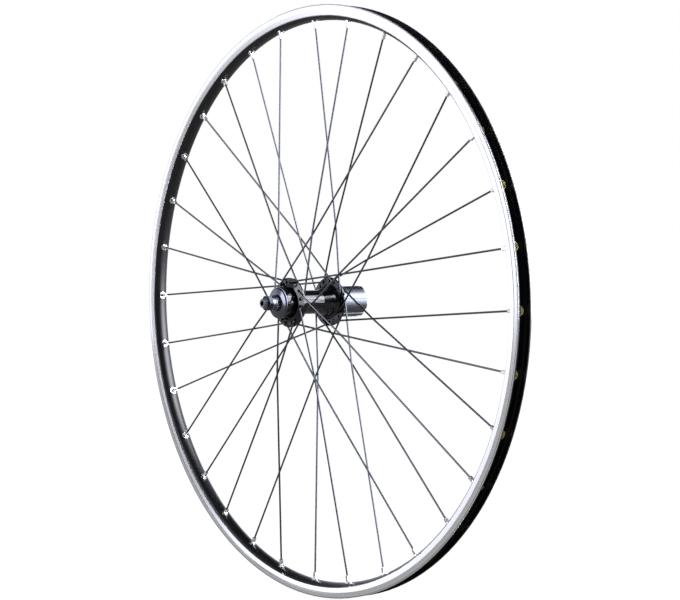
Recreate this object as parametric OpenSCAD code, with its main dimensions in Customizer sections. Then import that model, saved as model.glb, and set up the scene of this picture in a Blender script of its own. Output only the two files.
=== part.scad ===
// Rear wheel of a road bicycle: a 32-hole double-wall rim, a hub with cup-and-cone
// bearings, a splined freehub body, and three-cross lacing.
// The wheel stands in the X-Z plane. The origin is the wheel's centre, the spin axis is Y,
// +Y is the plain side and -Y is the drive side. Rolling forwards is a positive turn about +Y.

/* [Rim] */
// Diameter at which the tyre bead seats
bead_seat_d = 622; // [571:1:635]
// Width across the brake tracks
rim_w = 18; // [17:0.5:22]
// Height of the side walls above the bead seat
flange_h = 5.5; // [5:0.1:6.5]
// Depth of the tyre well below the bead seat
well_depth = 5.6; // [4.5:0.1:6.5]
// Height of the box between the well floor and the spoke bed, walls included
box_h = 4.9; // [4.6:0.1:9]
// Height of the machined brake track
brake_track_h = 11.2; // [10.8:0.1:13]
// Thickness of the side walls
side_wall_t = 1.4; // [1.2:0.1:1.8]
// Thickness of the spoke bed
bed_t = 1.3; // [1:0.1:1.6]
// Thickness of the tyre well's floor
bridge_t = 1.1; // [0.9:0.1:1.4]
// Half width of the flat floor of the tyre well
well_half_w = 5.9; // [5.8:0.05:6]
// Width of the bead seat ledge on each side
bead_ledge_w = 1.2; // [0.8:0.1:1.5]
// Reach of the hook that holds the tyre bead
bead_hook = 0.5; // [0.2:0.1:0.8]
// Height of the bead hook
bead_hook_h = 1.2; // [0.8:0.1:1.6]
// Width of the wear groove in each brake track
wear_groove_w = 0.8; // [0.4:0.1:1.2]
// Depth of the wear groove
wear_groove_depth = 0.3; // [0.1:0.05:0.5]
// Radius of the hole for the tyre's valve
valve_hole_r = 3.25; // [3.1:0.05:4.3]

/* [Spoke holes] */
// Sideways offset of the rim's spoke holes
stagger = 0.5; // [0:0.1:1]
// Radius of a ferrule's cup, outside
ferrule_r = 4.6; // [4.3:0.1:4.7]
// Radius of a ferrule's flange in the tyre well
ferrule_flange_r = 5.3; // [5:0.05:5.3]
// Sheet thickness of the ferrules
ferrule_t = 0.4; // [0.3:0.05:0.5]
// Outside radius of an eyelet's flange
eyelet_r = 4; // [3.6:0.1:4.5]
// Sheet thickness of the eyelets
eyelet_t = 0.45; // [0.3:0.05:0.6]
// Bore radius of an eyelet
eyelet_bore_r = 2.5; // [2.4:0.05:2.8]

/* [Spokes and nipples] */
// Diameter of the spokes
spoke_d = 2; // [1.8:0.1:2.3]
// Radius of the elbow's centre line
elbow_r = 2.4; // [2.2:0.1:2.8]
// Radius of a spoke's head
spoke_head_r = 1.85; // [1.6:0.05:2.1]
// Thickness of a spoke's head
spoke_head_t = 1; // [0.7:0.1:1.3]
// Gap between two spokes where they cross
spoke_cross_gap = 0.1; // [0.05:0.05:0.3]
// Radius of a nipple's shank
nipple_r = 2; // [1.85:0.05:2.1]
// Radius of a nipple's head
nipple_head_r = 3; // [2.8:0.1:3.2]
// Height of a nipple's head
nipple_head_h = 2.4; // [2:0.1:3]
// Length of a nipple's shank
nipple_shank_l = 9.6; // [8:0.2:14]
// Length of the nipple's square for the spoke key
nipple_square_l = 5.6; // [4:0.2:7]
// Size of that square across its flats
nipple_square_w = 3.4; // [3.2:0.05:3.6]

/* [Hub] */
// Width between the frame's dropouts
dropout_w = 130; // [128:1:140]
// Circle on which the spoke holes of a flange lie, radius
hole_circle_r = 22.5; // [21:0.5:24]
// Outside radius of both flanges
flange_r = 26.5; // [26:0.25:29]
// Thickness of both flanges
flange_t = 3.4; // [3:0.1:3.8]
// Outer face of the plain-side flange, in from the lock nut's outer face
left_flange_inset = 29.1; // [28:0.1:31]
// Outer face of the drive-side flange, in from the lock nut's outer face
right_flange_inset = 42.2; // [41.8:0.1:44]
// Fall of each flange's outer face from the hole circle to the rim of the flange
flange_bevel = 1.5; // [1.3:0.1:1.7]
// Radius of the spoke holes in the flanges
spoke_hole_r = 1.25; // [1.2:0.05:1.3]
// Radius of the barrel
barrel_r = 12.75; // [12.2:0.25:14]
// Radius of the barrel's bore
barrel_bore_r = 9.6; // [8:0.2:10]
// Radius of the collar round the plain-side bearing
collar_r = 16.8; // [16.2:0.1:17.5]
// End of the collar, in from the lock nut's outer face
collar_inset = 16.4; // [15:0.1:17.4]
// Radius at which the raised ring of the plain-side flange starts
ring_r = 18.7; // [18.4:0.1:19.5]

/* [Axle and bearings] */
// Radius of the threaded axle
axle_r = 5; // [4.6:0.1:5.2]
// Length of the axle past each lock nut
axle_stub = 5; // [3:0.5:6]
// Radius of the bore for the quick-release skewer
skewer_bore_r = 2.75; // [2.5:0.05:3]
// Diameter of the axle's bearing balls
ball_d = 6.35; // [5.9:0.05:6.4]
// Balls in each axle bearing
ball_count = 9; // [7:1:9]
// Radius of the circle on which those balls run
ball_circle_r = 9.6; // [9.4:0.05:9.8]
// Plain-side row of balls, in from the lock nut's outer face
left_ball_inset = 22; // [21.5:0.1:23]
// Drive-side row of balls, in from the lock nut's outer face
right_ball_inset = 12.4; // [12:0.1:13.5]
// Size of the lock nuts across their flats
nut_flats = 15; // [14:0.5:17]
// Thickness of the lock nuts
nut_t = 4.5; // [3.5:0.1:5]

/* [Freehub] */
// Radius over the splines
spline_r = 17.25; // [16.9:0.05:17.4]
// Depth of the valleys between the splines
spline_depth = 0.95; // [0.7:0.05:1.1]
// Width of a spline
spline_w = 5.4; // [4:0.1:6]
// Splines round the body
spline_count = 9; // [9:1:9]
// Length of the freehub body
freehub_l = 34.7; // [34:0.1:34.8]
// Outer end of the freehub body, in from the lock nut's outer face
freehub_inset = 5; // [4.8:0.1:6]
// Bore radius of the thread for the lock ring
lockring_bore_r = 15.25; // [15:0.05:15.3]
// Teeth of the ratchet inside the body
ratchet_teeth = 24; // [18:2:30]
// Depth of those teeth
ratchet_depth = 0.8; // [0.6:0.05:0.9]
// Width of the ratchet ring along the axle
ratchet_w = 8.2; // [7:0.1:8.6]
// Radius of the freehub's core
core_r = 12.3; // [12:0.05:12.4]
// Diameter of the freehub's small balls
small_ball_d = 3.175; // [2.8:0.025:3.2]
// Small balls in each row
small_ball_count = 24; // [20:1:24]
// Radius of the circle on which the small balls run
small_ball_circle_r = 12.9; // [12.8:0.05:13]
// Radius of the hollow bolt that holds the core
bolt_r = 7.5; // [7:0.1:7.6]
// Pawls in the core
pawl_count = 2; // [2:1:2]

/* [Fits] */
// Gap between pieces of one assembly that lie face to face
seat = 0.05; // [0.03:0.01:0.1]
// Gap of a running fit, on the radius
run_fit = 0.04; // [0.02:0.01:0.08]

/* [Hidden] */
$fn = 48;
over = 1;
spoke_count = 32;
crosses = 3;
per_family = spoke_count / 4;
pitch_deg = 360 / spoke_count;
lead_deg = 2 * crosses * pitch_deg;
spoke_r = spoke_d / 2;

bead_r = bead_seat_d / 2;
rim_r = bead_r + flange_h;
floor_r = bead_r - well_depth;
bed_r = floor_r - box_h;
track_r = rim_r - brake_track_h;
half_w = rim_w / 2;
inner_half_w = half_w - side_wall_t;
bed_rise = track_r - bed_r;
bed_arc_r = (half_w * half_w + bed_rise * bed_rise) / (2 * bed_rise);
bed_arc_centre = bed_r + bed_arc_r;
lip_round = 0.4;
valve_deg = (spoke_count / 4 + crosses + 0.5) * pitch_deg;

neck_r = eyelet_bore_r + eyelet_t * 0.8;
cup_bottom_r = neck_r + 0.25;
cup_floor = bed_inside(cup_bottom_r + stagger) + seat;
cup_taper = bed_inside(ferrule_r + stagger) + seat;
seat_r = cup_floor + ferrule_t;
nipple_bore_r = spoke_r + seat;
slot_w = 1.2;
slot_h = 0.8;

// The run of a spoke seen along the axle: its angle to the hub radius, and its length
run_x = seat_r * cos(lead_deg) - hole_circle_r;
run_z = seat_r * sin(lead_deg);
run_deg = atan2(run_z, run_x);
run_l = norm([run_x, run_z]);
cross_deg = (crosses - 0.5) * 2 * pitch_deg;
cross_u = hole_circle_r * sin(cross_deg) / sin(run_deg - cross_deg);
cross_part = cross_u / run_l;
flange_gap = 2 * seat;
joint_gap = 0.1;
joint_swell = 0.02;
countersink_w = 0.9;
countersink_h = elbow_r - spoke_r + seat;

nut_face = dropout_w / 2;
left_face = nut_face - left_flange_inset;
right_face = nut_face - right_flange_inset;
collar_end = nut_face - collar_inset;
left_ball_y = nut_face - left_ball_inset;
right_ball_y = nut_face - right_ball_inset;
freehub_end = nut_face - freehub_inset;
freehub_start = freehub_end - freehub_l;
left_inner_face = left_face - flange_t;
right_inner_face = right_face - flange_t;
left_fillet = 4;
right_cone_end = 16.5;
cone_foot = 2.6;
barrel_end = 4;
ring_groove = 0.9;
bevel_start_r = hole_circle_r - 0.3;
step_r = hole_circle_r - 3;
step_h = 0.6;
core_step = right_face + 2.1;
core_seat_end = right_face - 5.2;
core_seat_r = core_r + seat;
web_t = 6;
web_end = core_seat_end - web_t;
bolt_hole_r = bolt_r + seat;

ball_r = ball_d / 2;
race_r = ball_r + run_fit;
cup_r = 14.2;
cup_half_l = 3.9;
cup_depth = 4.3;
cup_lip_r = 12.7;
cup_seat_r = cup_r + seat;
cup_seat_y = left_ball_y - cup_depth - seat;
cone_bore_r = axle_r + seat;
cone_nose_r = 6.1;
cone_r = 7.9;
nut_r = nut_flats / 2 / cos(30);
axle_l = dropout_w + 2 * axle_stub;
axle_end_r = axle_r - 0.2;
axle_end_gap = 0.3;
nut_start = nut_face - nut_t;
washer_t = 1.3;
spacer_r = 7.4;
wrench_r = 8.4;
wrench_flats = 13;
cone_back = 12.4;

cap_rim_t = 0.35;
cap_face_r = 15.5;
cap_hole_r = 8.8;
cap_h = 1.6;
cap_skirt_l = 1.3;

small_ball_r = small_ball_d / 2;
small_race_r = small_ball_r + run_fit;
driver_bore_r = 13.5;
inner_row = freehub_start + 3.9;
mouth_start = freehub_end - 13.1;
outer_row = mouth_start - 2.3;
ratchet_start = inner_row + 4;
core_end = mouth_start + 0.3;
bolt_head_r = 9.6;
bolt_bore_r = 5.8;
bolt_hex_r = 6.9;
bolt_head_h = 3.4;
bolt_step = core_end - 5.6;
core_bore_r = bolt_head_r + 0.2;
neck_gap = 0.3;
shoulder_w = 2.2;
right_cup_r = lockring_bore_r - 0.75;

pawl_w = ratchet_w - 1.2;
pawl_pivot_r = 1.5;
pawl_deg = 36;
pawl_circle_r = core_r - pawl_pivot_r - 0.1;
tooth_root_r = driver_bore_r + ratchet_depth;
tooth_deg = 360 / ratchet_teeth;
tip_deg = 2.4;
tip_gap = 0.4;
tip_t = 1.2;
fold_deg = 8;
spring_t = 0.25;

// Shared placing

// A profile of radius against place along the axle, turned about the spin axis
module turned() {
    rotate([-90, 0, 0]) rotate_extrude($fn = 96) children();
}

// Along the axle: the shape's own Z becomes +Y
module along_axle(y = 0) {
    translate([0, y, 0]) rotate([-90, 0, 0]) children();
}

// The ray at an angle from +X towards +Z
module at_angle(deg) {
    rotate([0, -deg, 0]) children();
}

// A shape whose own Z points out along that ray
module outwards(deg, y = 0) {
    at_angle(deg) translate([0, y, 0]) rotate([0, 90, 0]) children();
}

// The drive side is drawn as a plain side and mirrored
module drive_side() {
    mirror([0, 1, 0]) children();
}

// Radius of the spoke bed's inner face at a distance from the rim's middle plane
function bed_inside(y) = bed_arc_centre - sqrt(pow(bed_arc_r - bed_t, 2) - y * y);
function side_of(k) = k % 2 == 1 ? 1 : -1;
function polar(r, deg) = [r * cos(deg), r * sin(deg)];
function ring_of_balls(r, n) = [for (i = [0:n - 1]) polar(r, i * 360 / n)];

// Rim

module rim_outline() {
    polygon([
        [track_r, -half_w], [rim_r - lip_round, -half_w], [rim_r, lip_round - half_w],
        [rim_r, half_w - lip_round], [rim_r - lip_round, half_w], [track_r, half_w]
    ]);
    intersection() {
        translate([bed_arc_centre, 0]) circle(r = bed_arc_r, $fn = 96);
        translate([bed_r - over, -half_w]) square([bed_rise + 2 * over, rim_w]);
    }
}

module tyre_well() {
    ledge = inner_half_w - bead_ledge_w;
    hook = inner_half_w - bead_hook;
    half = [
        [floor_r, well_half_w], [bead_r - lip_round, ledge], [bead_r, inner_half_w],
        [rim_r - bead_hook_h - bead_hook, inner_half_w], [rim_r - bead_hook_h, hook],
        [rim_r + over, hook]
    ];
    last = len(half) - 1;
    polygon(concat(half, [for (i = [last:-1:0]) [half[i].x, -half[i].y]]));
}

module rim_chamber() {
    intersection() {
        translate([bed_arc_centre, 0]) circle(r = bed_arc_r - bed_t, $fn = 96);
        translate([bed_r, -half_w]) square([box_h - bridge_t, rim_w]);
    }
}

module rim() {
    color("dimgray") difference() {
        turned() difference() {
            rim_outline();
            tyre_well();
            rim_chamber();
            for (s = [-1, 1]) translate([bead_r, s * half_w]) {
                square([wear_groove_w, 2 * wear_groove_depth], center = true);
            }
        }
        for (k = [0:spoke_count - 1]) outwards(k * pitch_deg, side_of(k) * stagger) {
            translate([0, 0, bed_r - over]) cylinder(h = bed_t + 2 * over, r = neck_r + seat);
            translate([0, 0, floor_r - bridge_t - over]) {
                cylinder(h = bridge_t + 2 * over, r = ferrule_r + seat);
            }
        }
        outwards(valve_deg) translate([0, 0, bed_r - over]) {
            cylinder(h = box_h + 2 * over, r = valve_hole_r);
        }
    }
}

// Pressed cups that join the two walls of the rim at each spoke hole
module rim_ferrules() {
    top = floor_r + seat;
    color("darkkhaki") for (k = [0:spoke_count - 1]) {
        outwards(k * pitch_deg, side_of(k) * stagger) rotate_extrude() polygon([
            [eyelet_bore_r, cup_floor], [cup_bottom_r, cup_floor], [ferrule_r, cup_taper],
            [ferrule_r, top], [ferrule_flange_r, top], [ferrule_flange_r, top + ferrule_t],
            [ferrule_r - ferrule_t, top + ferrule_t],
            [ferrule_r - ferrule_t, cup_taper + ferrule_t / 2],
            [cup_bottom_r - ferrule_t / 2, seat_r], [eyelet_bore_r, seat_r]
        ]);
    }
}

// Rolled rings round the spoke holes, bent to the curve of the spoke bed
module rim_eyelets() {
    low = bed_r - over;
    color("silver") for (k = [0:spoke_count - 1]) {
        offset_y = side_of(k) * stagger;
        outwards(k * pitch_deg, offset_y) difference() {
            union() {
                intersection() {
                    translate([0, 0, low]) cylinder(h = 2 * over, r = eyelet_r);
                    bed_roller(bed_arc_r + seat + eyelet_t, offset_y);
                }
                translate([0, 0, bed_r]) cylinder(h = cup_floor - bed_r - seat, r = neck_r);
            }
            difference() {
                bed_roller(bed_arc_r + seat, offset_y);
                translate([0, 0, low - over]) cylinder(h = box_h, r = neck_r);
            }
            translate([0, 0, low - over]) cylinder(h = box_h, r = eyelet_bore_r);
        }
    }
}

module bed_roller(r, offset_y) {
    translate([0, -offset_y, bed_arc_centre]) rotate([0, 90, 0]) {
        cylinder(h = 4 * eyelet_r, r = r, center = true, $fn = 96);
    }
}

// Spokes. A spoke lies in one plane: u runs from its hub hole to its rim hole,
// w runs the way its elbow leaves the flange.

function face_of(side) = side > 0 ? left_face : right_face;
function outer_start(side) = face_of(side) + spoke_r + flange_gap;
function inner_start(side) = face_of(side) - flange_t - spoke_r - flange_gap;
function cross_mid(side) =
    (outer_start(side) + inner_start(side)) / 2 * (1 - cross_part) + stagger * cross_part;
function cross_w(side, out) =
    out * (cross_mid(side) - out * (spoke_d + spoke_cross_gap) / 2);
function elbow_face(side, out) = out > 0 ? face_of(side) : flange_t - face_of(side);
function last_deg(side, out) =
    atan2(out * stagger - cross_w(side, out), run_l - cross_u);

// Puts a shape that is drawn in a spoke's own plane where spoke k of a family lies
module in_spoke_plane(k, side, out) {
    hub_deg = k * pitch_deg - out * lead_deg;
    at_angle(hub_deg) translate([hole_circle_r, 0, 0]) at_angle(out * run_deg) {
        rotate([side * out > 0 ? 0 : 180, 0, 0]) children();
    }
}

// A straight stretch of wire from a to b. It stops just short of both ends, inside the
// round joints there.
module wire(a, b) {
    v = b - a;
    stop = joint_gap / norm(v);
    start = a + stop * v;
    translate([start.x, start.y, 0]) rotate([0, 90, atan2(v.y, v.x)]) {
        cylinder(h = norm(v) - 2 * joint_gap, r = spoke_r);
    }
}

module wire_joint(p) {
    translate([p.x, p.y, 0]) sphere(r = spoke_r + joint_swell);
}

module spoke(k, side, out) {
    face = elbow_face(side, out);
    centre = [elbow_r, face + spoke_r + flange_gap - elbow_r];
    cross = [cross_u, cross_w(side, out)];
    reach = cross - centre;
    end_deg = atan2(reach.y, reach.x) + acos(elbow_r / norm(reach));
    bend_end = centre + polar(elbow_r, end_deg);
    bend_start = [0, centre.y];
    head_face = face - flange_t - seat;
    tail = [run_l, out * stagger] + polar(nipple_head_h - slot_h - seat, last_deg(side, out));
    gap_deg = joint_gap / elbow_r * 180 / PI;
    color("silver") in_spoke_plane(k, side, out) {
        translate([0, head_face, 0]) rotate([90, 0, 0]) {
            cylinder(h = spoke_head_t, r = spoke_head_r);
        }
        wire([0, head_face - spoke_head_t / 2], bend_start);
        wire_joint(bend_start);
        translate([centre.x, centre.y, 0]) rotate([0, 0, end_deg + gap_deg]) {
            rotate_extrude(angle = 180 - end_deg - 2 * gap_deg) {
                translate([elbow_r, 0]) circle(r = spoke_r);
            }
        }
        wire_joint(bend_end);
        wire(bend_end, cross);
        wire_joint(cross);
        wire(cross, tail);
    }
}

module spoke_left_outer(i) {
    spoke(4 * (i - 1) + 3, 1, 1);
}

module spoke_left_inner(i) {
    spoke(4 * (i - 1) + 1, 1, -1);
}

module spoke_right_outer(i) {
    spoke(4 * (i - 1) + 2, -1, 1);
}

module spoke_right_inner(i) {
    spoke(4 * (i - 1), -1, -1);
}

function out_of(k) = k % 4 >= 2 ? 1 : -1;

// Nipples, each in line with the last stretch of its spoke
module nipples() {
    color("silver") for (k = [0:spoke_count - 1]) {
        in_spoke_plane(k, side_of(k), out_of(k)) {
            translate([run_l, out_of(k) * stagger, 0]) {
                rotate([0, 90, last_deg(side_of(k), out_of(k))]) nipple();
            }
        }
    }
}

module nipple() {
    difference() {
        union() {
            rotate_extrude() polygon([
                [0, -seat], [nipple_r, 0], [nipple_head_r, nipple_head_r - nipple_r],
                [nipple_head_r, nipple_head_h - lip_round],
                [nipple_head_r - lip_round, nipple_head_h], [0, nipple_head_h]
            ]);
            translate([0, 0, nipple_square_l - nipple_shank_l]) {
                cylinder(h = nipple_shank_l - nipple_square_l, r = nipple_r);
            }
            intersection() {
                translate([0, 0, -nipple_shank_l]) {
                    cylinder(h = nipple_square_l, r = nipple_r * 1.1);
                }
                cube([nipple_square_w, nipple_square_w, 2 * nipple_shank_l], center = true);
            }
        }
        translate([0, 0, -nipple_shank_l - over]) {
            cylinder(h = nipple_shank_l + nipple_head_h + 2 * over, r = nipple_bore_r);
        }
        translate([0, 0, nipple_head_h]) {
            cube([slot_w, 3 * nipple_head_r, 2 * slot_h], center = true);
        }
    }
}

// Hub shell

function arc(centre, r, from, to, n = 8) =
    [for (i = [0:n]) centre + polar(r, from + (to - from) * i / n)];

// Section of the shell: down its outside from the collar, and back up its inside
module shell_section() {
    fillet_centre = [barrel_r + left_fillet, left_inner_face - left_fillet];
    polygon(concat(
        [
            [cup_seat_r, collar_end], [collar_r - lip_round, collar_end],
            [collar_r, collar_end - lip_round], [collar_r, left_face - ring_groove],
            [ring_r, left_face - ring_groove], [ring_r, left_face],
            [bevel_start_r, left_face], [flange_r, left_face - flange_bevel],
            [flange_r, left_inner_face + lip_round], [flange_r - lip_round, left_inner_face]
        ],
        arc(fillet_centre, left_fillet, 90, 180),
        [
            [barrel_r, -barrel_end], [right_cone_end, cone_foot - right_inner_face],
            [right_cone_end + cone_foot, -right_inner_face],
            [flange_r - lip_round, -right_inner_face],
            [flange_r, -right_inner_face - lip_round],
            [flange_r, flange_bevel - right_face], [bevel_start_r, -right_face],
            [step_r, -right_face], [step_r, -right_face - step_h],
            [right_cone_end, -right_face - step_h], [right_cone_end, -core_step],
            [core_seat_r, -core_step], [core_seat_r, -core_seat_end],
            [bolt_hole_r, -core_seat_end], [bolt_hole_r, -web_end],
            [barrel_bore_r, -web_end], [barrel_bore_r, cup_seat_y], [cup_seat_r, cup_seat_y]
        ]
    ));
}

module hub_shell() {
    color("black") difference() {
        turned() shell_section();
        for (k = [0:spoke_count - 1]) flange_hole(k, side_of(k), out_of(k));
    }
}

// A spoke hole, eased on the side where the elbow leaves it
module flange_hole(k, side, out) {
    face = elbow_face(side, out);
    ease_r = spoke_hole_r + countersink_w * (1 + over / countersink_h);
    in_spoke_plane(k, side, out) rotate([-90, 0, 0]) rotate_extrude() polygon([
        [0, face - flange_t - over], [spoke_hole_r, face - flange_t - over],
        [spoke_hole_r, face - countersink_h], [ease_r, face + over], [0, face + over]
    ]);
}

// Axle bearings, drawn for a row of balls at place y

// The pressed cup round the outside of a row of balls
module cup_outline(y) {
    difference() {
        polygon([
            [cone_r, y - cup_depth], [cup_r, y - cup_depth], [cup_r, y + cup_half_l],
            [cup_lip_r, y + cup_half_l], [ball_circle_r, y]
        ]);
        translate([ball_circle_r, y]) circle(r = race_r);
    }
}

// The cone inside a row of balls, with its collar and the flats for a thin wrench
module cone(y, back) {
    shoulder = min(y + cup_half_l + 3.4, back - 1.2);
    difference() {
        turned() difference() {
            polygon([
                [cone_bore_r, y - 1.8], [cone_nose_r, y - 1.8], [ball_circle_r, y],
                [ball_circle_r - 0.6, y + cup_half_l], [cone_r, y + cup_half_l + 0.8],
                [cone_r, shoulder], [wrench_r, shoulder],
                [wrench_r, back - lip_round], [wrench_r - lip_round, back],
                [cone_bore_r, back]
            ]);
            translate([ball_circle_r, y]) circle(r = race_r);
        }
        for (s = [-1, 1]) translate([s * (wrench_flats / 2 + wrench_r), back - 1.5, 0]) {
            cube([2 * wrench_r, 3 + 2 * seat, 4 * wrench_r], center = true);
        }
    }
}

module ball_row(y, circle_r, r, n) {
    for (p = ring_of_balls(circle_r, n)) translate([p.x, y, p.y]) sphere(r = r);
}

module left_bearing_cup() {
    color("slategray") turned() cup_outline(left_ball_y);
}

module left_balls() {
    color("silver") ball_row(left_ball_y, ball_circle_r, ball_r, ball_count);
}

module right_balls() {
    color("silver") ball_row(-right_ball_y, ball_circle_r, ball_r, ball_count);
}

module left_cone() {
    color("slategray") cone(left_ball_y, left_ball_y + cone_back);
}

module right_cone() {
    back = min(right_ball_y + cone_back, nut_start - washer_t - 2 * seat);
    color("slategray") drive_side() cone(right_ball_y, back);
}

// Ring that closes the collar on the plain side
module left_dust_cap() {
    y = collar_end + seat;
    color("silver") turned() polygon([
        [cap_hole_r, y], [cap_hole_r, y + cap_h], [cap_face_r - 0.9, y + cap_h],
        [cap_face_r, y + cap_h - 0.7], [cap_face_r, y + cap_rim_t],
        [collar_r - 0.2, y + cap_rim_t], [collar_r - 0.2, y], [cup_r, y],
        [cup_r, y - cap_skirt_l], [cup_r - 0.8, y - cap_skirt_l], [cup_r - 0.8, y]
    ]);
}

module left_seal() {
    y = left_ball_y + cup_half_l + 0.9;
    color("black") turned() polygon([
        [cone_r + seat, y], [cap_hole_r - 0.15, y + 0.4], [cap_hole_r - 0.15, y + 2],
        [cone_r + seat, y + 2.3]
    ]);
}

module right_seal() {
    y = right_ball_y + cup_half_l + 0.85;
    color("black") drive_side() turned() {
        translate([cone_r + seat, y]) square([cup_lip_r - cone_r - 0.2, 0.5]);
    }
}

// Freehub: a core bolted to the shell, and the splined body that freewheels round it

module small_races() {
    for (y = [inner_row, outer_row]) {
        translate([small_ball_circle_r, y]) circle(r = small_race_r);
    }
}

module freehub_core() {
    color("slategray") difference() {
        drive_side() turned() difference() {
            polygon([
                [bolt_hole_r, core_seat_end + seat], [core_r, core_seat_end + seat],
                [core_r, core_end], [core_bore_r, core_end], [core_bore_r, bolt_step],
                [bolt_hole_r, bolt_step]
            ]);
            small_races();
        }
        for (i = [0:pawl_count - 1]) pawl_place(i, pawl_w + 4 * seat) pawl_pocket();
    }
}

// Extrudes a pawl's outline in the middle of the ratchet
module pawl_place(i, w) {
    along_axle(-ratchet_start - (ratchet_w + w) / 2) rotate([0, 0, i * 360 / pawl_count]) {
        linear_extrude(height = w) children();
    }
}

pawl_pivot = polar(pawl_circle_r, pawl_deg);
tip_outer = polar(tooth_root_r - tip_gap, tip_deg);
tip_inner = polar(tooth_root_r - tip_gap - tip_t, tip_deg);
arm = tip_outer - pawl_pivot;
arm_normal = [-arm.y, arm.x] / norm(arm);
pocket_start = pawl_pivot - (pawl_pivot_r + run_fit) * arm_normal;
pocket_floor_end = polar(core_r - 0.9, -4);
pocket_floor = pocket_floor_end - pocket_start;
floor_normal = [-pocket_floor.y, pocket_floor.x] / norm(pocket_floor);

module pawl_pocket() {
    translate(pawl_pivot) circle(r = pawl_pivot_r + run_fit);
    polygon([
        pocket_start, pocket_floor_end, polar(core_r + 2, -4), polar(core_r + 2, pawl_deg - 9),
        pawl_pivot + pawl_pivot_r * arm_normal
    ]);
}

// A pawl, folded into its pocket so that the body runs free. Turned out by fold_deg, its
// tip lies behind a tooth.
module pawl(i) {
    arm_half = pawl_pivot_r - 0.2;
    color("slategray") pawl_place(i, pawl_w) translate(pawl_pivot) rotate(-fold_deg) {
        circle(r = pawl_pivot_r);
        polygon([
            tip_outer - pawl_pivot, arm_half * arm_normal, -arm_half * arm_normal,
            tip_inner - pawl_pivot
        ]);
    }
}

module pawl_1() {
    pawl(0);
}

module pawl_2() {
    pawl(1);
}

// Leaf springs on the floors of the pockets
module pawl_springs() {
    leaf = [for (c = [[0.45, seat], [0.95, seat], [0.95, seat + spring_t], [0.45, seat + spring_t]])
        pocket_start + c[0] * pocket_floor + c[1] * floor_normal];
    color("silver") for (i = [0:pawl_count - 1]) pawl_place(i, pawl_w / 2) polygon(leaf);
}

module freehub_bolt() {
    color("silver") difference() {
        drive_side() turned() polygon([
            [bolt_bore_r, web_end], [bolt_r - lip_round, web_end], [bolt_r, web_end + lip_round],
            [bolt_r, bolt_step + seat], [bolt_head_r, bolt_step + seat],
            [bolt_head_r, bolt_step + bolt_head_h], [bolt_bore_r, bolt_step + bolt_head_h]
        ]);
        along_axle(-bolt_step - bolt_head_h - over) {
            cylinder(h = bolt_head_h + over, r = bolt_hex_r, $fn = 6);
        }
    }
}

// The cup that is screwed into the core's outer end and runs on the drive-side balls
module right_bearing_cup() {
    y = right_ball_y;
    neck_start = bolt_step + bolt_head_h + neck_gap;
    color("slategray") drive_side() turned() difference() {
        polygon([
            [cone_r - 0.5, neck_start], [core_bore_r - seat, neck_start],
            [core_bore_r - seat, core_end + seat], [right_cup_r, core_end + seat],
            [right_cup_r, y + cup_half_l], [cup_lip_r, y + cup_half_l], [ball_circle_r, y],
            [cone_r, y - cup_depth]
        ]);
        translate([ball_circle_r, y]) circle(r = race_r);
    }
}

module spline_outline() {
    circle(r = spline_r - spline_depth, $fn = 96);
    intersection() {
        circle(r = spline_r, $fn = 96);
        for (i = [0:spline_count - 1]) rotate(i * 360 / spline_count) {
            translate([0, -spline_w / 2]) square([spline_r + over, i == 0 ? 1.5 * spline_w : spline_w]);
        }
    }
}

module ratchet_outline() {
    polygon([for (i = [0:ratchet_teeth - 1], r = [driver_bore_r - 0.1, tooth_root_r])
        polar(r, i * tooth_deg)]);
}

module freehub_body() {
    color("silver") difference() {
        union() {
            along_axle(-freehub_end) {
                linear_extrude(height = freehub_end - freehub_start - over) spline_outline();
            }
            along_axle(-freehub_start - shoulder_w) {
                cylinder(h = shoulder_w, r = spline_r + 0.15, $fn = 96);
            }
        }
        drive_side() turned() {
            translate([0, freehub_start - over]) square([driver_bore_r, freehub_end]);
            translate([0, mouth_start]) square([lockring_bore_r, freehub_end]);
            small_races();
        }
        along_axle(-ratchet_start - ratchet_w) {
            linear_extrude(height = ratchet_w) ratchet_outline();
        }
    }
}

module freehub_inner_balls() {
    color("silver") ball_row(-inner_row, small_ball_circle_r, small_ball_r, small_ball_count);
}

module freehub_outer_balls() {
    color("silver") ball_row(-outer_row, small_ball_circle_r, small_ball_r, small_ball_count);
}

// Axle, nuts, washers and spacer

module axle() {
    end = axle_l / 2;
    thread_end = nut_face + axle_end_gap;
    color("slategray") difference() {
        turned() polygon([
            [0, -end], [axle_end_r - lip_round, -end], [axle_end_r, lip_round - end],
            [axle_end_r, -thread_end], [axle_r, -thread_end], [axle_r, thread_end],
            [axle_end_r, thread_end], [axle_end_r, end - lip_round],
            [axle_end_r - lip_round, end], [0, end]
        ]);
        along_axle(-axle_l / 2 - over) cylinder(h = axle_l + 2 * over, r = skewer_bore_r);
    }
}

module lock_nut() {
    along_axle(nut_start) difference() {
        intersection() {
            cylinder(h = nut_t, r = nut_r, $fn = 6);
            rotate_extrude() polygon([
                [0, 0], [nut_r - 1, 0], [nut_r, 0.6], [nut_r, nut_t - 0.6],
                [nut_r - 1, nut_t], [0, nut_t]
            ]);
        }
        translate([0, 0, -over]) cylinder(h = nut_t + 2 * over, r = cone_bore_r);
    }
}

module left_lock_nut() {
    color("gray") lock_nut();
}

module right_lock_nut() {
    color("gray") drive_side() lock_nut();
}

module axle_ring(start, end, r) {
    turned() translate([cone_bore_r, start]) square([r - cone_bore_r, end - start]);
}

module left_washer() {
    start = left_ball_y + cone_back + seat;
    color("silver") axle_ring(start, start + washer_t, spacer_r + 0.5);
}

module left_spacer() {
    start = left_ball_y + cone_back + washer_t + 2 * seat;
    color("silver") axle_ring(start, nut_start - seat, spacer_r);
}

module right_washer() {
    color("silver") drive_side() {
        axle_ring(nut_start - washer_t - seat, nut_start - seat, spacer_r + 0.5);
    }
}

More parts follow.
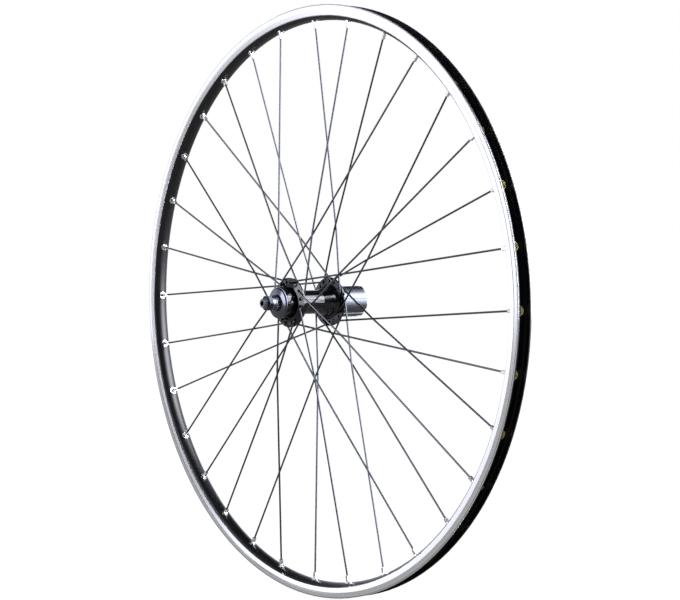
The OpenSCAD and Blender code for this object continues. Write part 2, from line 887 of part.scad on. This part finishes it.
rim();
rim_ferrules();
rim_eyelets();
nipples();
for (i = [1:per_family]) {
    spoke_left_outer(i);
    spoke_left_inner(i);
    spoke_right_outer(i);
    spoke_right_inner(i);
}
hub_shell();
left_bearing_cup();
left_dust_cap();
left_balls();
right_balls();
freehub_core();
freehub_bolt();
right_bearing_cup();
freehub_body();
freehub_inner_balls();
freehub_outer_balls();
pawl_1();
pawl_2();
pawl_springs();
axle();
left_cone();
right_cone();
left_lock_nut();
right_lock_nut();
left_washer();
right_washer();
left_spacer();
left_seal();
right_seal();
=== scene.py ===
# %% [markdown]
# # A rear bicycle wheel, dressed for its photograph
#
# The construction of the wheel comes from the imported model: rim, spokes, hub, freehub and
# axle are already there as separate pieces at their real size. This lesson gives each of
# them the finish of the real thing, adds the small turned and knurled details, and sets up
# the studio. First the frame is loaded.

# %% Load the frame
import math

import bpy
from mathutils import Matrix, Vector


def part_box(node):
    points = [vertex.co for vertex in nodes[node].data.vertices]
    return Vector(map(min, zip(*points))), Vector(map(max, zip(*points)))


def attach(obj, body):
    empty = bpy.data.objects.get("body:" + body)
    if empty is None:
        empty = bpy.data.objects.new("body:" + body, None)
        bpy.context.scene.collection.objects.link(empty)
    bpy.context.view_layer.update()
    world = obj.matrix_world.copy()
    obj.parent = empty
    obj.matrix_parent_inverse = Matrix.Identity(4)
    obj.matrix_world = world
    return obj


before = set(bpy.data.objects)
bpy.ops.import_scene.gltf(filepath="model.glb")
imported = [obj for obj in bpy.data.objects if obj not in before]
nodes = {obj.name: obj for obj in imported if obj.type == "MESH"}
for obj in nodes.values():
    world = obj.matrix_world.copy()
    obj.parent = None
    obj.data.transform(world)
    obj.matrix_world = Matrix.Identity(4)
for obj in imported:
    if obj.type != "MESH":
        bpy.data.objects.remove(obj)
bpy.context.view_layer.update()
print("pieces in the frame:", len(nodes))

# %% [markdown]
# Every size below is in metres. The other radii are measured in from its edge: the seat
# of the tyre's bead, the place where the side wall starts to lean, the foot of the brake
# track, and the floor of the tyre well.

# %% Sizes of the wheel
MM = 0.001
WALL_HEIGHT = 5.5 * MM
LEAN_DEPTH = 6.4 * MM
TRACK_HEIGHT = 11.2 * MM
WELL_DEPTH = 5.6 * MM
rim_low, rim_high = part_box("rim")
rim_r = rim_high.x
rim_half_w = rim_high.y
bead_r = rim_r - WALL_HEIGHT
lean_r = rim_r - LEAN_DEPTH
track_r = rim_r - TRACK_HEIGHT
floor_r = bead_r - WELL_DEPTH
print("rim radius", round(rim_r / MM, 2), "mm, half width", round(rim_half_w / MM, 2), "mm")

# %% [markdown]
# Colours are easiest to judge as the hex values of a paint program, which are sRGB.
# Shaders want linear light, so one function turns one into the other. A second small
# function adds a node, sets its values and links its inputs, which keeps each material
# short enough to read at a glance.

# %% Colour and node helpers
def hex_to_linear(code):
    channels = [int(code[i:i + 2], 16) / 255 for i in (1, 3, 5)]
    linear = [c / 12.92 if c <= 0.04045 else ((c + 0.055) / 1.055) ** 2.4 for c in channels]
    return (*linear, 1.0)


def add_node(tree, kind, links=None, **settings):
    node = tree.nodes.new(kind)
    for name, value in settings.items():
        setattr(node, name, value)
    for socket, value in (links or {}).items():
        if isinstance(value, bpy.types.NodeSocket):
            tree.links.new(value, node.inputs[socket])
        else:
            node.inputs[socket].default_value = value
    return node


def new_material(name):
    material = bpy.data.materials.new(name)
    material.use_nodes = True
    tree = material.node_tree
    shader = tree.nodes["Principled BSDF"]
    return material, tree, shader


def finish_nodes(material, *names):
    for name in names:
        slots = nodes[name].data.materials
        slots.clear()
        slots.append(material)

# %% [markdown]
# Most marks on a wheel were made by turning, so they run in circles round the axle. Their
# coordinate is the distance from the spin axis, which is Y. This helper gives a material
# that radius, the place along the axle, and the angle round it, all from Object
# coordinates, so the pattern stays on the piece when the wheel turns. The helpers after it
# combine such values, and make the noise and the bump that most materials share.

# %% Coordinates round the axle
def axle_coordinates(tree):
    place = add_node(tree, "ShaderNodeTexCoord").outputs["Object"]
    split = add_node(tree, "ShaderNodeSeparateXYZ", {0: place})
    flat = add_node(tree, "ShaderNodeVectorMath", {0: place, 1: (1, 0, 1)}, operation="MULTIPLY")
    radius = add_node(tree, "ShaderNodeVectorMath", {0: flat.outputs[0]}, operation="LENGTH")
    along = split.outputs["Y"]
    angle = add_node(
        tree, "ShaderNodeMath", {0: split.outputs["X"], 1: split.outputs["Z"]},
        operation="ARCTAN2",
    )
    return place, radius.outputs["Value"], along, angle.outputs[0]


def step_up(tree, value, start, width):
    """0 below start, 1 above start + width."""
    node = add_node(
        tree, "ShaderNodeMapRange",
        {"Value": value, "From Min": start, "From Max": start + width},
    )
    return node.outputs[0]


def combine(tree, operation, a, b):
    return add_node(tree, "ShaderNodeMath", {0: a, 1: b}, operation=operation).outputs[0]


def mix_colours(tree, factor, first, second):
    node = add_node(
        tree, "ShaderNodeMix", {0: factor, 6: first, 7: second}, data_type="RGBA",
    )
    return node.outputs[2]


def mix_values(tree, factor, first, second):
    node = add_node(
        tree, "ShaderNodeMapRange",
        {"Value": factor, "To Min": first, "To Max": second},
    )
    return node.outputs[0]


def turning_marks(tree, value, per_metre, detail=2.0):
    """Noise that depends on one length only, such as the radius: it reads as rings."""
    return add_node(
        tree, "ShaderNodeTexNoise",
        {"W": combine(tree, "MULTIPLY", value, per_metre), "Scale": 1.0, "Detail": detail},
        noise_dimensions="1D",
    ).outputs[0]


def speckle(tree, place, per_metre, detail, **settings):
    """Noise in all three directions."""
    return add_node(
        tree, "ShaderNodeTexNoise",
        {"Vector": place, "Scale": per_metre, "Detail": detail, **settings},
    ).outputs[0]


def darker(colour, share):
    return tuple(c * share for c in hex_to_linear(colour)[:3]) + (1.0,)


def add_bump(tree, shader, height, strength=1.0, distance=1.0):
    bump = add_node(
        tree, "ShaderNodeBump", {"Height": height, "Strength": strength, "Distance": distance},
    )
    tree.links.new(bump.outputs[0], shader.inputs["Normal"])

# %% [markdown]
# **Rim.** A road rim is one aluminium extrusion, rolled to a hoop and hard anodised
# black. The side walls are then machined bright, because brake pads rub there, and the
# lathe leaves rings finer than a tenth of a millimetre. A groove in each wall shows how
# much metal is left. Anodised aluminium is a metal under a thin hard oxide full of dye.
# The dye hides the metal, so the black part is no metal to the shader, only a dark gloss.
# One material covers the whole rim and tells the two finishes apart by radius and by
# distance from the middle plane. It also paints one fine dark line near the edge of the
# track: painted shade, standing in for the shading of the rim's outer lip.

# %% Rim: machined brake tracks on a black anodised extrusion
EDGE = 0.05 * MM  # width over which one finish gives way to the next
WALL_MARGIN = 0.6 * MM
TRACK_MARGIN = 1.1 * MM
# Inner and outer limits, measured in from the rim's edge, of the painted lip shade
LIP_SHADE_FOOT, LIP_SHADE_TOP = 1.3 * MM, 0.8 * MM
WALL_LEAN = 0.2  # tangent of some eleven degrees
MARK_HEIGHT = 0.0002 * MM


def rim_finish():
    material, tree, shader = new_material("black_anodised_rim_with_machined_tracks")
    place, radius, along, _ = axle_coordinates(tree)
    side = combine(tree, "ABSOLUTE", along, 0.0)
    on_wall = step_up(tree, side, rim_half_w - WALL_MARGIN, EDGE)
    above = step_up(tree, radius, track_r - TRACK_MARGIN, EDGE)
    track = combine(tree, "MULTIPLY", on_wall, above)
    # Painted shade: a thin dark band in the track's colour just inside the outer edge, standing
    # in for the lip's shading
    lip_shade = step_up(tree, radius, rim_r - LIP_SHADE_FOOT, EDGE)
    past_lip_shade = step_up(tree, radius, rim_r - LIP_SHADE_TOP, EDGE)
    lip_shade = combine(tree, "SUBTRACT", lip_shade, past_lip_shade)
    track_colour = mix_colours(
        tree, lip_shade, hex_to_linear("#FAFAFC"), hex_to_linear("#5E6066")
    )
    colour = mix_colours(tree, track, hex_to_linear("#090A0D"), track_colour)
    tree.links.new(colour, shader.inputs["Base Color"])
    tree.links.new(track, shader.inputs["Metallic"])
    shader.inputs["Specular IOR Level"].default_value = 0.5
    rings = turning_marks(tree, radius, 9000.0)
    haze = speckle(tree, place, 900.0, 3.0)
    dark_gloss = mix_values(tree, haze, 0.3, 0.42)
    bright_gloss = mix_values(tree, rings, 0.1, 0.18)
    gloss = mix_values(tree, track, dark_gloss, bright_gloss)
    tree.links.new(gloss, shader.inputs["Roughness"])
    # The lower part of the side wall leans in towards the middle plane
    lean = combine(tree, "MULTIPLY", combine(tree, "MINIMUM", radius, lean_r), WALL_LEAN)
    marks = combine(tree, "MULTIPLY", rings, MARK_HEIGHT)
    height = combine(tree, "MULTIPLY", combine(tree, "ADD", lean, marks), on_wall)
    add_bump(tree, shader, height)
    return material


finish_nodes(rim_finish(), "rim")

# %% [markdown]
# **Ferrules and eyelets.** At each spoke hole a pressed cup joins the two walls of the
# rim, and a rolled ring lines the hole on the spoke bed. The cups have a warm, brassy
# passivated zinc plate, set half metallic as the film over the zinc is matt. The rings
# and the nipples are bright nickel. All are smooth, with a faint mottle of the plating.

# %% Ferrules, eyelets and nipples
def plated_metal(name, colour, roughness, metallic=1.0, mottle=0.06, grain=0.8):
    """Plated steel or brass: smooth metal whose plate has a faint mottle, grain in mm."""
    material, tree, shader = new_material(name)
    place = add_node(tree, "ShaderNodeTexCoord").outputs["Object"]
    spots = speckle(tree, place, 1 / (grain * MM), 3.0, Roughness=0.6)
    tone = mix_colours(tree, spots, darker(colour, 0.82), hex_to_linear(colour))
    tree.links.new(tone, shader.inputs["Base Color"])
    shader.inputs["Metallic"].default_value = metallic
    gloss = mix_values(tree, spots, roughness - mottle, roughness + mottle)
    tree.links.new(gloss, shader.inputs["Roughness"])
    return material


brassy = plated_metal("passivated_ferrule_steel", "#D2C68A", 0.32, metallic=0.5)
nickel = plated_metal("nickel_plated_brass", "#EDEDEA", 0.25)
finish_nodes(brassy, "rim_ferrules")
finish_nodes(nickel, "rim_eyelets", "nipples")

# %% [markdown]
# **Spokes.** Drawn stainless steel wire, two millimetres thick. Drawing leaves lines
# along the wire and a soft sheen. Against a white studio such a wire reads as dark grey,
# because most of what it mirrors lies beside and behind the camera. Its colour is set
# darker than bare steel to match.

# %% Spokes
def drawn_wire():
    material, tree, shader = new_material("drawn_stainless_wire")
    place = add_node(tree, "ShaderNodeTexCoord").outputs["Object"]
    streaks = speckle(tree, place, 700.0, 2.0)
    tone = mix_colours(tree, streaks, hex_to_linear("#484A50"), hex_to_linear("#5E6066"))
    tree.links.new(tone, shader.inputs["Base Color"])
    shader.inputs["Metallic"].default_value = 1.0
    tree.links.new(mix_values(tree, streaks, 0.22, 0.34), shader.inputs["Roughness"])
    return material


spoke_names = [name for name in nodes if name.startswith("spoke_")]
finish_nodes(drawn_wire(), *spoke_names)
print("spokes:", len(spoke_names))

# %% [markdown]
# **Hub shell.** Forged aluminium, turned, polished and anodised black. Polishing comes
# before anodising, so the highlight on the barrel is crisp. Faint turning rings remain on
# the flange faces. The flat ring of the plain-side flange is modelled flat, and a bump
# makes it shine as if it fell away from the axle, up to the bevel at its edge.

# %% Hub shell
FACE_FALL = 0.4  # tangent of some twenty-two degrees
BEVEL_START = 22.4 * MM
LEFT_FLANGE_DEPTH = 17.4 * MM
left_flange_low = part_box("hub_shell")[1].y - LEFT_FLANGE_DEPTH


def polished_black():
    material, tree, shader = new_material("polished_black_anodised_hub")
    _, radius, along, _ = axle_coordinates(tree)
    rings = turning_marks(tree, combine(tree, "ADD", along, radius), 3000.0, detail=1.0)
    tone = mix_colours(tree, rings, hex_to_linear("#060609"), hex_to_linear("#0B0B10"))
    tree.links.new(tone, shader.inputs["Base Color"])
    tree.links.new(mix_values(tree, rings, 0.07, 0.15), shader.inputs["Roughness"])
    outside = step_up(tree, along, left_flange_low, EDGE)
    flat = combine(tree, "MINIMUM", radius, BEVEL_START)
    fall = combine(tree, "MULTIPLY", combine(tree, "MULTIPLY", flat, outside), -FACE_FALL)
    add_bump(tree, shader, fall)
    return material


finish_nodes(polished_black(), "hub_shell")

# %% [markdown]
# **Turned steel.** The freehub body, cones, washers and nuts are turned from bar, and
# their marks are rings along the axle. The freehub's rings are a third of a millimetre
# apart here, coarser than the real feed marks, so that they still show in a render.

# %% Turned steel pieces
def turned_steel(name, colour, roughness, pitch, strength=0.25):
    material, tree, shader = new_material(name)
    _, radius, along, _ = axle_coordinates(tree)
    rings = turning_marks(tree, combine(tree, "ADD", along, radius), 1 / pitch)
    tone = mix_colours(tree, rings, darker(colour, 0.7), hex_to_linear(colour))
    tree.links.new(tone, shader.inputs["Base Color"])
    shader.inputs["Metallic"].default_value = 1.0
    gloss = mix_values(tree, rings, roughness - 0.06, roughness + 0.08)
    tree.links.new(gloss, shader.inputs["Roughness"])
    add_bump(tree, shader, rings, strength, 0.05 * MM)
    return material


finish_nodes(turned_steel("turned_freehub_steel", "#666970", 0.4, 0.33 * MM), "freehub_body")
finish_nodes(
    turned_steel("zinc_plated_steel", "#43464E", 0.34, 0.25 * MM),
    "left_lock_nut", "right_lock_nut", "freehub_bolt", "freehub_core",
)
finish_nodes(
    turned_steel("bright_washer_steel", "#7C7F86", 0.3, 0.3 * MM),
    "left_cone", "right_cone", "left_washer", "right_washer", "left_spacer",
)
finish_nodes(
    turned_steel("ground_bearing_steel", "#8E9196", 0.18, 0.15 * MM, 0.1),
    "left_bearing_cup", "right_bearing_cup", "left_balls", "right_balls",
    "freehub_inner_balls", "freehub_outer_balls", "pawl_1", "pawl_2", "pawl_springs",
)

# %% [markdown]
# **Dust cap.** The steel ring that closes the bearing was faced on a lathe. Its marks are
# fine circles round the axle, which stretch each reflection across them, so a turned
# face shows two bright fans and two dark ones. The Anisotropic setting does that, with
# the direction of the marks from a Tangent node set to run round the Y axis. The steel is
# dark, and its flat face gets the same bump as the flange beside it.

# %% Dust cap
def faced_steel():
    material, tree, shader = new_material("lathe_faced_cap_steel")
    _, radius, _, _ = axle_coordinates(tree)
    marks = turning_marks(tree, radius, 5000.0)
    tone = mix_colours(tree, marks, hex_to_linear("#565860"), hex_to_linear("#6C6F78"))
    tree.links.new(tone, shader.inputs["Base Color"])
    shader.inputs["Metallic"].default_value = 1.0
    shader.inputs["Anisotropic"].default_value = 0.5
    tree.links.new(mix_values(tree, marks, 0.16, 0.24), shader.inputs["Roughness"])
    add_bump(tree, shader, combine(tree, "MULTIPLY", radius, -FACE_FALL))
    tangent = add_node(tree, "ShaderNodeTangent", direction_type="RADIAL", axis="Y")
    tree.links.new(tangent.outputs[0], shader.inputs["Tangent"])
    return material


finish_nodes(faced_steel(), "left_dust_cap")

# %% [markdown]
# **Axle thread.** The axle is rolled M10 steel with a pitch of one millimetre. The thread
# is a helix, so its height is a wave of the place along the axle plus a share of the
# angle round it: one turn moves it by one pitch.

# %% Threaded axle
THREAD_PITCH = 1.0 * MM
THREAD_ROOT = 4.7 * MM


def rolled_thread():
    material, tree, shader = new_material("rolled_axle_thread")
    _, radius, along, angle = axle_coordinates(tree)
    turns = combine(tree, "MULTIPLY", along, 2 * math.pi / THREAD_PITCH)
    phase = combine(tree, "ADD", turns, angle)
    wave = combine(tree, "SINE", phase, 0.0)
    outside = step_up(tree, radius, THREAD_ROOT, 0.1 * MM)
    height = combine(tree, "MULTIPLY", wave, outside)
    shader.inputs["Base Color"].default_value = hex_to_linear("#7C7F84")
    shader.inputs["Metallic"].default_value = 1.0
    shader.inputs["Roughness"].default_value = 0.34
    add_bump(tree, shader, height, distance=0.25 * MM)
    return material


finish_nodes(rolled_thread(), "axle")

# %% [markdown]
# **Seals.** Moulded black rubber: nearly no sheen, and a fine grain from the mould.

# %% Rubber seals
def moulded_rubber():
    material, tree, shader = new_material("moulded_seal_rubber")
    place = add_node(tree, "ShaderNodeTexCoord").outputs["Object"]
    grain = speckle(tree, place, 3000.0, 2.0)
    shader.inputs["Base Color"].default_value = hex_to_linear("#111112")
    shader.inputs["Roughness"].default_value = 0.65
    add_bump(tree, shader, grain, 0.2, 0.05 * MM)
    return material


finish_nodes(moulded_rubber(), "left_seal", "right_seal")

# %% [markdown]
# **Thread of the axle's ends.** A rolled thread is a ridge that winds round the rod. A
# triangle is set beside the axle and wound by the Screw modifier, which turns it and moves
# it on by one pitch each turn. That gives the true helix, where rings would only look
# like one. The ridge's foot is sunk into the rod, so no gap shows.

# %% Thread ridges on the axle's ends
axle_low, axle_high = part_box("axle")
axle_r = axle_high.x
THREAD_TURNS = 3
THREAD_END_GAP = 0.9 * MM
TRIANGLE_R = 0.52  # circumradius of the ridge's section, as a share of the pitch
WELD = 1e-6


def start_piece():
    bpy.ops.object.select_all(action="DESELECT")


def apply_modifiers(piece):
    for modifier in list(piece.modifiers):
        bpy.ops.object.modifier_apply(modifier=modifier.name)


def bake_transform():
    bpy.ops.object.transform_apply(location=True, rotation=True, scale=True)


def weld_in_edit_mode(fill_ends=False):
    """Joins doubled points, makes the faces look outwards and leaves Edit Mode."""
    bpy.ops.mesh.select_all(action="SELECT")
    bpy.ops.mesh.remove_doubles(threshold=WELD)
    if fill_ends:
        bpy.ops.mesh.fill_holes(sides=3)
    bpy.ops.mesh.normals_make_consistent(inside=False)
    bpy.ops.object.mode_set(mode="OBJECT")


def spin_copies(count):
    """Sets count copies of the selected faces in a ring round the spin axis."""
    bpy.ops.mesh.select_all(action="SELECT")
    bpy.ops.mesh.spin(
        steps=count, dupli=True, angle=2 * math.pi, center=(0, 0, 0), axis=(0, 1, 0)
    )


def finish_piece(piece, name, body, material):
    piece.name = name
    piece.data.materials.append(material)
    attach(piece, body)
    print(name, "faces:", len(piece.data.polygons))


def wind_thread(name, radius, start_y, turns, pitch, depth, inward, body, material):
    """A triangular ridge wound round Y: its crest is at radius, and its foot depth away."""
    start_piece()
    side = -1 if inward else 1
    bpy.ops.mesh.primitive_circle_add(
        vertices=3, radius=TRIANGLE_R * pitch,
        location=(radius - side * depth * 2 / 3, start_y, 0),
        rotation=(0, 0, -side * math.pi / 2),
    )
    ridge = bpy.context.object
    bpy.ops.transform.resize(value=(depth / (1.5 * TRIANGLE_R * pitch), 1, 1))
    bake_transform()
    bpy.ops.object.modifier_add(type="SCREW")
    screw = ridge.modifiers[-1]
    screw.axis = "Y"
    screw.screw_offset = pitch
    screw.iterations = turns
    screw.steps = screw.render_steps = 48
    apply_modifiers(ridge)
    bpy.ops.object.mode_set(mode="EDIT")
    weld_in_edit_mode(fill_ends=True)
    bpy.ops.object.shade_smooth_by_angle(angle=math.radians(30))
    finish_piece(ridge, name, body, material)


thread_steel = turned_steel("rolled_thread_steel", "#8B8E93", 0.3, 0.2 * MM, 0.1)
thread_left = axle_high.y - THREAD_END_GAP - THREAD_TURNS * THREAD_PITCH
thread_right = axle_low.y + THREAD_END_GAP
for name, start_y in (("axle_thread_left", thread_left), ("axle_thread_right", thread_right)):
    wind_thread(
        name, axle_r, start_y, turns=THREAD_TURNS, pitch=THREAD_PITCH, depth=0.5 * MM,
        inward=False, body="axle_set", material=thread_steel,
    )

# %% [markdown]
# **Thread for the lock ring.** The mouth of the freehub body has a fine inside thread that
# holds the cassette's lock ring. It is the same ridge with its crest pointing inwards.

# %% Thread inside the freehub's mouth
MOUTH_PITCH = 1.06 * MM
MOUTH_CREST_R = 14.95 * MM
MOUTH_GAP = 1.4 * MM
driver_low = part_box("freehub_body")[0]
wind_thread(
    "lock_ring_thread", MOUTH_CREST_R, driver_low.y + MOUTH_GAP, turns=7, pitch=MOUTH_PITCH,
    depth=0.45 * MM, inward=True, body="driver",
    material=nodes["freehub_body"].data.materials[0],
)

# %% [markdown]
# **Collars of the ferrules.** Seen through the tyre side, each ferrule ends in a short
# pressed collar that stands up from the floor of the well. Two tubes are made, one for
# each side the spoke holes step to, and Spin sets sixteen copies of the pair round the rim.

# %% Ferrule collars in the tyre well
HOLES = 32
STAGGER = 0.5 * MM
COLLAR_R = 4.5 * MM
COLLAR_HEIGHT = 3.6 * MM
COLLAR_WALL = 0.5 * MM
COLLAR_BEVEL = 0.12 * MM
collar_foot = floor_r + 0.3 * MM
start_piece()
tubes = []
for count, offset in ((0, -STAGGER), (1, STAGGER)):
    turn_by = 2 * math.pi * count / HOLES
    bpy.ops.mesh.primitive_cylinder_add(
        vertices=32, radius=COLLAR_R, depth=COLLAR_HEIGHT, end_fill_type="NOTHING",
        location=(0, offset, collar_foot + COLLAR_HEIGHT / 2),
    )
    tube = bpy.context.object
    bpy.ops.object.modifier_add(type="SOLIDIFY")
    tube.modifiers[-1].thickness = COLLAR_WALL
    bpy.ops.object.modifier_add(type="BEVEL")
    tube.modifiers[-1].width = COLLAR_BEVEL
    tube.modifiers[-1].segments = 2
    tube.modifiers[-1].limit_method = "ANGLE"
    apply_modifiers(tube)
    bake_transform()
    tube.rotation_euler = (0, turn_by, 0)
    bake_transform()
    tubes.append(tube)
start_piece()
for tube in tubes:
    tube.select_set(True)
bpy.context.view_layer.objects.active = tubes[0]
bpy.ops.object.join()
bpy.ops.object.mode_set(mode="EDIT")
spin_copies(HOLES // 2)
weld_in_edit_mode()
bpy.ops.object.shade_smooth_by_angle(angle=math.radians(30))
finish_piece(bpy.context.object, "ferrule_collars", "wheel", brassy)

# %% [markdown]
# **Serrated nut faces.** The outer face of each lock nut bites into the frame, so it has
# radial teeth. One tooth is a box whose outer side is pinched to a ridge. Spin with
# duplicates then sets thirty of them in a ring round the axle.

# %% Serrations of the lock nuts
TEETH = 30
TEETH_R = 6.35 * MM
TOOTH_SIZE = (1.5 * MM, 0.4 * MM, 0.8 * MM)
TOOTH_PINCH = (0.8, 1, 0.25)


def serrate(name, face_y, outward, material):
    start_piece()
    bpy.ops.mesh.primitive_cube_add(size=1, location=(TEETH_R, face_y, 0))
    tooth = bpy.context.object
    bpy.ops.transform.resize(value=TOOTH_SIZE)
    bake_transform()
    bpy.ops.object.mode_set(mode="EDIT")
    bpy.ops.mesh.select_all(action="DESELECT")
    bpy.ops.object.mode_set(mode="OBJECT")
    for face in tooth.data.polygons:
        face.select = face.normal.y * outward > 0.5
    bpy.ops.object.mode_set(mode="EDIT")
    bpy.ops.mesh.select_mode(type="FACE")
    bpy.ops.transform.resize(value=TOOTH_PINCH)
    spin_copies(TEETH)
    weld_in_edit_mode()
    finish_piece(tooth, name, "axle_set", material)


nut_steel = nodes["left_lock_nut"].data.materials[0]
serrate("nut_teeth_left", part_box("left_lock_nut")[1].y, 1, nut_steel)
serrate("nut_teeth_right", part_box("right_lock_nut")[0].y, -1, nut_steel)

# %% [markdown]
# **Studio.** The photograph is a product picture on pure white. Its polished black parts
# show the room: a white backdrop behind the wheel, limited in height, a dark room behind
# the camera, and three tall panels: a soft box at the right, a weaker one at the left
# front and a narrow grey wall beside it. The world draws that room for reflections, a
# little cool. The camera sees plain white, and matt surfaces get an even light.

# %% World with backdrop and soft boxes
away = Vector((0.777, -0.629, 0.0))
DARK_ROOM = 0.05
BACKDROP = 1.35
EVEN_LIGHT = 0.62


def direction_part(tree, sky, direction):
    return add_node(
        tree, "ShaderNodeVectorMath", {0: sky, 1: Vector(direction)}, operation="DOT_PRODUCT",
    ).outputs["Value"]


def ramp(tree, value, start, end, low, high):
    return add_node(
        tree, "ShaderNodeMapRange",
        {"Value": value, "From Min": start, "From Max": end, "To Min": low, "To Max": high},
    ).outputs[0]


def soft_box(tree, sky, direction, half_width, half_height, strength):
    """An upright bright panel of the world; its half sizes are sines of angles."""
    front = Vector(direction).normalized()
    across = Vector((-front.y, front.x, 0)).normalized()
    sideways = combine(tree, "ABSOLUTE", direction_part(tree, sky, across), 0.0)
    upright = combine(tree, "ABSOLUTE", direction_part(tree, sky, (0, 0, 1)), 0.0)
    in_width = ramp(tree, sideways, half_width, half_width + 0.08, 1.0, 0.0)
    in_height = ramp(tree, upright, half_height, half_height + 0.1, 1.0, 0.0)
    in_front = ramp(tree, direction_part(tree, sky, front), 0.0, 0.1, 0.0, strength)
    return combine(tree, "MULTIPLY", combine(tree, "MULTIPLY", in_width, in_height), in_front)


world = bpy.data.worlds.new("white_studio")
bpy.context.scene.world = world
world.use_nodes = True
sky_tree = world.node_tree
background = sky_tree.nodes["Background"]
sky = add_node(sky_tree, "ShaderNodeTexCoord").outputs["Generated"]
towards = ramp(
    sky_tree, direction_part(sky_tree, sky, away), start=0.02, end=0.07, low=0.0, high=BACKDROP
)
level = combine(sky_tree, "ABSOLUTE", direction_part(sky_tree, sky, (0, 0, 1)), 0.0)
in_height = ramp(sky_tree, level, start=0.36, end=0.5, low=1.0, high=0.0)
backdrop = combine(sky_tree, "MULTIPLY", towards, in_height)
backdrop = combine(sky_tree, "ADD", backdrop, DARK_ROOM)
right_box = soft_box(
    sky_tree, sky, (-0.777, -0.629, -0.1), half_width=0.4, half_height=0.66, strength=13.0
)
left_box = soft_box(
    sky_tree, sky, (0.2, 0.98, 0), half_width=0.27, half_height=0.62, strength=6.5
)
grey_wall = soft_box(
    sky_tree, sky, (0.54, 0.84, 0), half_width=0.1, half_height=0.7, strength=0.45
)
room = combine(sky_tree, "ADD", combine(sky_tree, "ADD", right_box, left_box), backdrop)
room = combine(sky_tree, "ADD", room, grey_wall)
rays = add_node(sky_tree, "ShaderNodeLightPath")
mirrored = combine(
    sky_tree, "MAXIMUM", rays.outputs["Is Glossy Ray"], rays.outputs["Is Transmission Ray"]
)
not_seen = ramp(sky_tree, mirrored, 0.0, 1.0, EVEN_LIGHT, room)
strength = ramp(sky_tree, rays.outputs["Is Camera Ray"], 0.0, 1.0, not_seen, 1.0)
cool = hex_to_linear("#EDEFFA")
tint = mix_colours(sky_tree, rays.outputs["Is Camera Ray"], cool, (1.0, 1.0, 1.0, 1.0))
sky_tree.links.new(tint, background.inputs["Color"])
sky_tree.links.new(strength, background.inputs["Strength"])

# %% [markdown]
# **Floor.** A pale sheet lies just under the wheel. The camera sees it white, and mirrors
# see it dim, as the dark parts of the photograph show no white floor. A small share of
# real diffuse keeps a faint shadow.

# %% Floor
FLOOR_WHITE = 1.08
FLOOR_IN_MIRRORS = 0.35
FLOOR_GLOW_SHARE = 0.9
start_piece()
bpy.ops.mesh.primitive_plane_add(size=8.0, location=(0, 0, rim_low.z - 1.0 * MM))
floor = bpy.context.object
floor.name = "studio_floor"
floor_material, floor_tree, floor_shader = new_material("white_paper_floor")
floor_shader.inputs["Base Color"].default_value = hex_to_linear("#F0F0F0")
floor_shader.inputs["Roughness"].default_value = 0.9
floor_rays = add_node(floor_tree, "ShaderNodeLightPath").outputs
seen = combine(floor_tree, "MAXIMUM", floor_rays["Is Camera Ray"], floor_rays["Is Glossy Ray"])
seen = combine(floor_tree, "MAXIMUM", seen, floor_rays["Is Transmission Ray"])
white = ramp(floor_tree, floor_rays["Is Camera Ray"], 0.0, 1.0, FLOOR_IN_MIRRORS, FLOOR_WHITE)
glow = add_node(floor_tree, "ShaderNodeEmission", {"Color": (1, 1, 1, 1), "Strength": white})
blend = add_node(
    floor_tree, "ShaderNodeMixShader",
    {0: combine(floor_tree, "MULTIPLY", seen, FLOOR_GLOW_SHARE),
     1: floor_shader.outputs[0], 2: glow.outputs[0]},
)
floor_tree.links.new(blend.outputs[0], floor_tree.nodes["Material Output"].inputs[0])
floor.data.materials.append(floor_material)

# %% [markdown]
# **Lamps.** Two large soft lamps stand where the soft boxes are. They are weak, and give
# the matt parts a light side.

# %% Lamps
def soft_lamp(name, place, size, power):
    data = bpy.data.lights.new(name, "AREA")
    data.shape = "DISK"
    data.size = size
    data.energy = power
    lamp = bpy.data.objects.new(name, data)
    lamp.location = place
    lamp.rotation_euler = (-Vector(place)).to_track_quat("-Z", "Y").to_euler()
    bpy.context.scene.collection.objects.link(lamp)


soft_lamp("key_lamp", (-1.6, -1.2, 1.4), size=1.0, power=10)
soft_lamp("fill_lamp", (0.6, 2.2, 1.6), size=1.4, power=8)

# %% [markdown]
# **Camera.** The view was worked out from the rim's outline and its spoke holes: a long
# lens 1.77 metres away, almost level with the hub, 39 degrees off the plane of the wheel.

# %% Camera
azimuth = math.radians(230.973)
elevation = math.radians(1.95)
distance = 1770.6 * MM
back = Vector((
    math.sin(azimuth) * math.cos(elevation),
    -math.cos(azimuth) * math.cos(elevation),
    math.sin(elevation),
))
right = Vector((math.cos(azimuth), math.sin(azimuth), 0))
up = back.cross(right)
# The fit of the photo, 680 pixels wide, gave a focal length of 1643 pixels and an optical
# axis that passes a little beside and above the hub
ASIDE, ABOVE = 27.47 * MM, 2.02 * MM
SENSOR = 36
eye = back * distance + right * ASIDE + up * ABOVE
camera_data = bpy.data.cameras.new("camera")
camera_data.sensor_width = SENSOR
camera_data.lens = SENSOR * 1643.0 / 680
camera = bpy.data.objects.new("camera", camera_data)
bpy.context.scene.collection.objects.link(camera)
turn = Matrix((right, up, back)).transposed().to_4x4()
camera.matrix_world = Matrix.Translation(eye) @ turn
bpy.context.scene.camera = camera
bpy.context.scene.view_settings.view_transform = "Standard"
